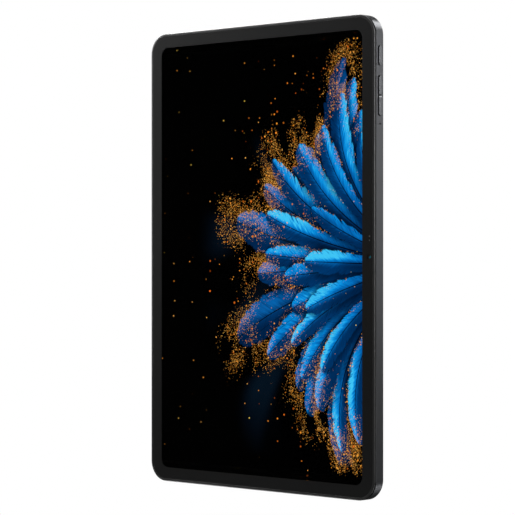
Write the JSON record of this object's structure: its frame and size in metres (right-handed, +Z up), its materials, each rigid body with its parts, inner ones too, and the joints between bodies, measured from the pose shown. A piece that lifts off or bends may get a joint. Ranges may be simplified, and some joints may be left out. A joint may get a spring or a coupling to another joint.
{
  "type": "tablet computer",
  "caption": "Slim tablet computer with a metal rear housing, full glass front in a plastic rim, side power button and volume rocker, rear camera ring and bottom port.",
  "frame": {"origin": "centre of the rear housing's flat back face", "axes": "+X to the right seen from the front, -Y out of the screen, +Z up along the tablet's height in portrait"},
  "size_m": [0.1688, 0.0085, 0.257],
  "materials": {
    "cover_glass": "polished, black printed border",
    "lens_glass": "coated",
    "clear_plastic": "frosted clear",
    "adhesive": "clear adhesive film",
    "display": null,
    "steel": "bare stamped sheet",
    "rim_plastic": "satin moulded",
    "housing_aluminium": "dark grey anodised, fine blasted",
    "battery_foil": "laminated foil pouch",
    "board": "solder mask",
    "flex": "polyimide film",
    "chip": "moulded package",
    "black_plastic": "moulded"
  },
  "bodies": {
    "chassis": {"cover_glass": "cover_glass", "optical_adhesive": "adhesive", "display_panel": "display", "backlight_unit": "steel", "heat_spreader": "battery_foil", "display_frame": "rim_plastic", "display_adhesive": "adhesive", "display_flex": "flex", "rear_housing": "housing_aluminium", "battery_cell_left": "battery_foil", "battery_cell_right": "battery_foil", "battery_tape_left": "adhesive", "battery_tape_right": "adhesive", "battery_protection_board": "black_plastic", "battery_lead": "flex", "main_board": "board", "processor_chip": "chip", "memory_chip": "chip", "power_chip": "chip", "radio_chip": "chip", "processor_shield": "steel", "radio_shield": "steel", "usb_board": "board", "usb_c_shell": "steel", "usb_c_tongue": "black_plastic", "link_flex": "flex", "speaker_top_left": "black_plastic", "speaker_top_right": "black_plastic", "speaker_bottom_left": "black_plastic", "speaker_bottom_right": "black_plastic", "driver_top_left": "steel", "driver_top_right": "steel", "driver_bottom_left": "steel", "driver_bottom_right": "steel", "mesh_top_left": "steel", "mesh_top_right": "steel", "mesh_bottom_left": "steel", "mesh_bottom_right": "steel", "power_dome": "steel", "volume_up_dome": "steel", "volume_down_dome": "steel", "rocker_pin": "steel", "key_bracket": "steel", "key_flex": "flex", "side_microphone": "chip", "upper_microphone": "chip", "front_camera": "black_plastic", "front_camera_lens": "lens_glass", "front_camera_flex": "flex", "light_sensor": "chip", "rear_camera": "black_plastic", "rear_camera_ring": "housing_aluminium", "rear_camera_window": "cover_glass", "rear_camera_flex": "flex", "flash_led": "black_plastic", "flash_window": "clear_plastic", "wifi_antenna": "flex", "small_screws": "steel"},
    "power_key": {"power_button": "housing_aluminium"},
    "volume_key": {"volume_rocker": "housing_aluminium"}
  },
  "joints": [
    {"name": "power_press", "type": "slide", "parent": "chassis", "child": "power_key", "axis": [-1, 0, 0], "range_m": [0, 0.00035], "stiffness_N_per_m": 2500},
    {"name": "volume_rock", "type": "hinge", "parent": "chassis", "child": "volume_key", "pos_m": [0.0812, -0.0035, 0.0852], "axis": [0, 1, 0], "range_deg": [-1.5, 1.5], "stiffness_Nm_per_rad": 0.5}
  ]
}
